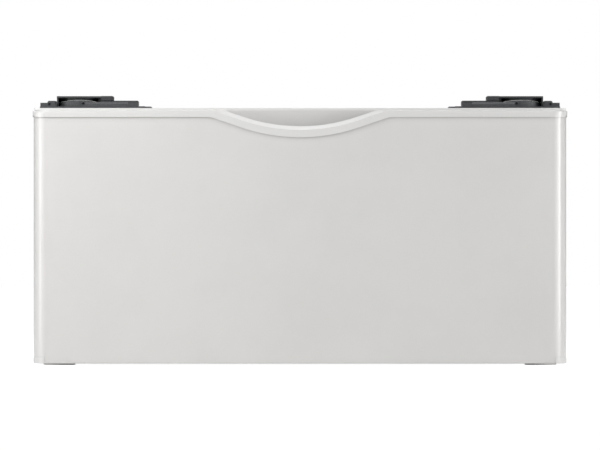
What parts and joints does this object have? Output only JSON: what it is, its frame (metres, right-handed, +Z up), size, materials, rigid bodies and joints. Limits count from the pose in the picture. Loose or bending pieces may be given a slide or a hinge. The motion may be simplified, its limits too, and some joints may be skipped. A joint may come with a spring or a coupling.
{
  "type": "washer pedestal drawer",
  "caption": "Laundry pedestal: white steel cabinet with a wide pull-out drawer, dished handle lip, foot holders for a washer on top and screw-in levelling feet.",
  "frame": {"origin": "on the floor, under the middle of the bounding box", "axes": "+X to the right, the drawer opens towards -Y, +Z up"},
  "size_m": [0.6886, 0.716, 0.3479],
  "materials": {
    "white_enamel": "smooth semi-gloss powder coat",
    "white_trim": "satin-gloss moulded plastic",
    "pocket_plastic": "fine matt moulded plastic",
    "holder_plastic": "speckled glass-filled moulding",
    "holder_hood": "dark grey coated steel",
    "galvanised": "galvanised, faint spangle",
    "slide_steel": "bright zinc plate",
    "ball_steel": "polished",
    "screw_steel": "zinc plate",
    "foot_rubber": "matt",
    "stop_rubber": "matt"
  },
  "bodies": {
    "cabinet": {"top_plate": "white_enamel", "back_panel": "galvanised", "cabinet_screws": "screw_steel", "base_cross_rail_front": "galvanised", "base_cross_rail_rear": "galvanised", "foot_nuts": "screw_steel", "holder_screws": "screw_steel", "slide_screws": "slide_steel", "side_panel_left": "white_enamel", "front_post_left": "galvanised", "rear_post_left": "galvanised", "holder_beam_left": "galvanised", "base_rail_left": "galvanised", "slide_cabinet_rail_left": "slide_steel", "holder_base_front_left": "holder_plastic", "holder_hood_front_left": "holder_hood", "holder_base_rear_left": "holder_plastic", "holder_hood_rear_left": "holder_hood", "side_panel_right": "white_enamel", "front_post_right": "galvanised", "rear_post_right": "galvanised", "holder_beam_right": "galvanised", "base_rail_right": "galvanised", "slide_cabinet_rail_right": "slide_steel", "holder_base_front_right": "holder_plastic", "holder_hood_front_right": "holder_hood", "holder_base_rear_right": "holder_plastic", "holder_hood_rear_right": "holder_hood"},
    "drawer": {"drawer_front_skin": "white_enamel", "drawer_front_liner": "white_enamel", "handle_trim": "white_trim", "finger_pocket": "pocket_plastic", "corner_cap_left": "white_trim", "corner_cap_right": "white_trim", "drawer_stops": "stop_rubber", "drawer_screws": "screw_steel", "tub_side_left": "white_enamel", "tub_side_right": "white_enamel", "tub_floor": "white_enamel", "tub_back": "white_enamel", "slide_drawer_rail_left": "slide_steel", "slide_drawer_rail_right": "slide_steel"},
    "middle_rail_left": {"slide_middle_rail_left": "slide_steel"},
    "outer_cage_left": {"slide_outer_cage_left": "slide_steel", "slide_outer_balls_left": "ball_steel"},
    "inner_cage_left": {"slide_inner_cage_left": "slide_steel", "slide_inner_balls_left": "ball_steel"},
    "middle_rail_right": {"slide_middle_rail_right": "slide_steel"},
    "outer_cage_right": {"slide_outer_cage_right": "slide_steel", "slide_outer_balls_right": "ball_steel"},
    "inner_cage_right": {"slide_inner_cage_right": "slide_steel", "slide_inner_balls_right": "ball_steel"},
    "foot_front_left": {"foot_pad_front_left": "foot_rubber"},
    "foot_screw_front_left": {"foot_stud_front_left": "screw_steel"},
    "foot_front_right": {"foot_pad_front_right": "foot_rubber"},
    "foot_screw_front_right": {"foot_stud_front_right": "screw_steel"},
    "foot_rear_left": {"foot_pad_rear_left": "foot_rubber"},
    "foot_screw_rear_left": {"foot_stud_rear_left": "screw_steel"},
    "foot_rear_right": {"foot_pad_rear_right": "foot_rubber"},
    "foot_screw_rear_right": {"foot_stud_rear_right": "screw_steel"}
  },
  "joints": [
    {"name": "drawer_slide", "type": "slide", "parent": "cabinet", "child": "drawer", "axis": [0, -1, 0], "range_m": [0, 0.45]},
    {"name": "middle_rail_slide_left", "type": "slide", "parent": "cabinet", "child": "middle_rail_left", "axis": [0, -1, 0], "range_m": [0, 0.225]},
    {"name": "outer_cage_slide_left", "type": "slide", "parent": "cabinet", "child": "outer_cage_left", "axis": [0, -1, 0], "range_m": [0, 0.1125]},
    {"name": "inner_cage_slide_left", "type": "slide", "parent": "middle_rail_left", "child": "inner_cage_left", "axis": [0, -1, 0], "range_m": [0, 0.1125]},
    {"name": "middle_rail_slide_right", "type": "slide", "parent": "cabinet", "child": "middle_rail_right", "axis": [0, -1, 0], "range_m": [0, 0.225]},
    {"name": "outer_cage_slide_right", "type": "slide", "parent": "cabinet", "child": "outer_cage_right", "axis": [0, -1, 0], "range_m": [0, 0.1125]},
    {"name": "inner_cage_slide_right", "type": "slide", "parent": "middle_rail_right", "child": "inner_cage_right", "axis": [0, -1, 0], "range_m": [0, 0.1125]},
    {"name": "foot_drop_front_left", "type": "slide", "parent": "cabinet", "child": "foot_front_left", "axis": [0, 0, -1], "range_m": [0, 0.015]},
    {"name": "foot_turn_front_left", "type": "hinge", "parent": "foot_front_left", "child": "foot_screw_front_left", "pos_m": [-0.312, -0.2548, 0.02], "axis": [0, 0, -1], "range_deg": [0, 3600]},
    {"name": "foot_drop_front_right", "type": "slide", "parent": "cabinet", "child": "foot_front_right", "axis": [0, 0, -1], "range_m": [0, 0.015]},
    {"name": "foot_turn_front_right", "type": "hinge", "parent": "foot_front_right", "child": "foot_screw_front_right", "pos_m": [0.312, -0.2548, 0.02], "axis": [0, 0, -1], "range_deg": [0, 3600]},
    {"name": "foot_drop_rear_left", "type": "slide", "parent": "cabinet", "child": "foot_rear_left", "axis": [0, 0, -1], "range_m": [0, 0.015]},
    {"name": "foot_turn_rear_left", "type": "hinge", "parent": "foot_rear_left", "child": "foot_screw_rear_left", "pos_m": [-0.312, 0.2556, 0.02], "axis": [0, 0, -1], "range_deg": [0, 3600]},
    {"name": "foot_drop_rear_right", "type": "slide", "parent": "cabinet", "child": "foot_rear_right", "axis": [0, 0, -1], "range_m": [0, 0.015]},
    {"name": "foot_turn_rear_right", "type": "hinge", "parent": "foot_rear_right", "child": "foot_screw_rear_right", "pos_m": [0.312, 0.2556, 0.02], "axis": [0, 0, -1], "range_deg": [0, 3600]}
  ],
  "couplings": [
    {"joint": "middle_rail_slide_left", "follows": "drawer_slide", "ratio": 0.5},
    {"joint": "outer_cage_slide_left", "follows": "drawer_slide", "ratio": 0.25},
    {"joint": "inner_cage_slide_left", "follows": "drawer_slide", "ratio": 0.25},
    {"joint": "middle_rail_slide_right", "follows": "drawer_slide", "ratio": 0.5},
    {"joint": "outer_cage_slide_right", "follows": "drawer_slide", "ratio": 0.25},
    {"joint": "inner_cage_slide_right", "follows": "drawer_slide", "ratio": 0.25},
    {"joint": "foot_turn_front_left", "follows": "foot_drop_front_left", "rad_per_m": 4188.8},
    {"joint": "foot_turn_front_right", "follows": "foot_drop_front_right", "rad_per_m": 4188.8},
    {"joint": "foot_turn_rear_left", "follows": "foot_drop_rear_left", "rad_per_m": 4188.8},
    {"joint": "foot_turn_rear_right", "follows": "foot_drop_rear_right", "rad_per_m": 4188.8}
  ]
}
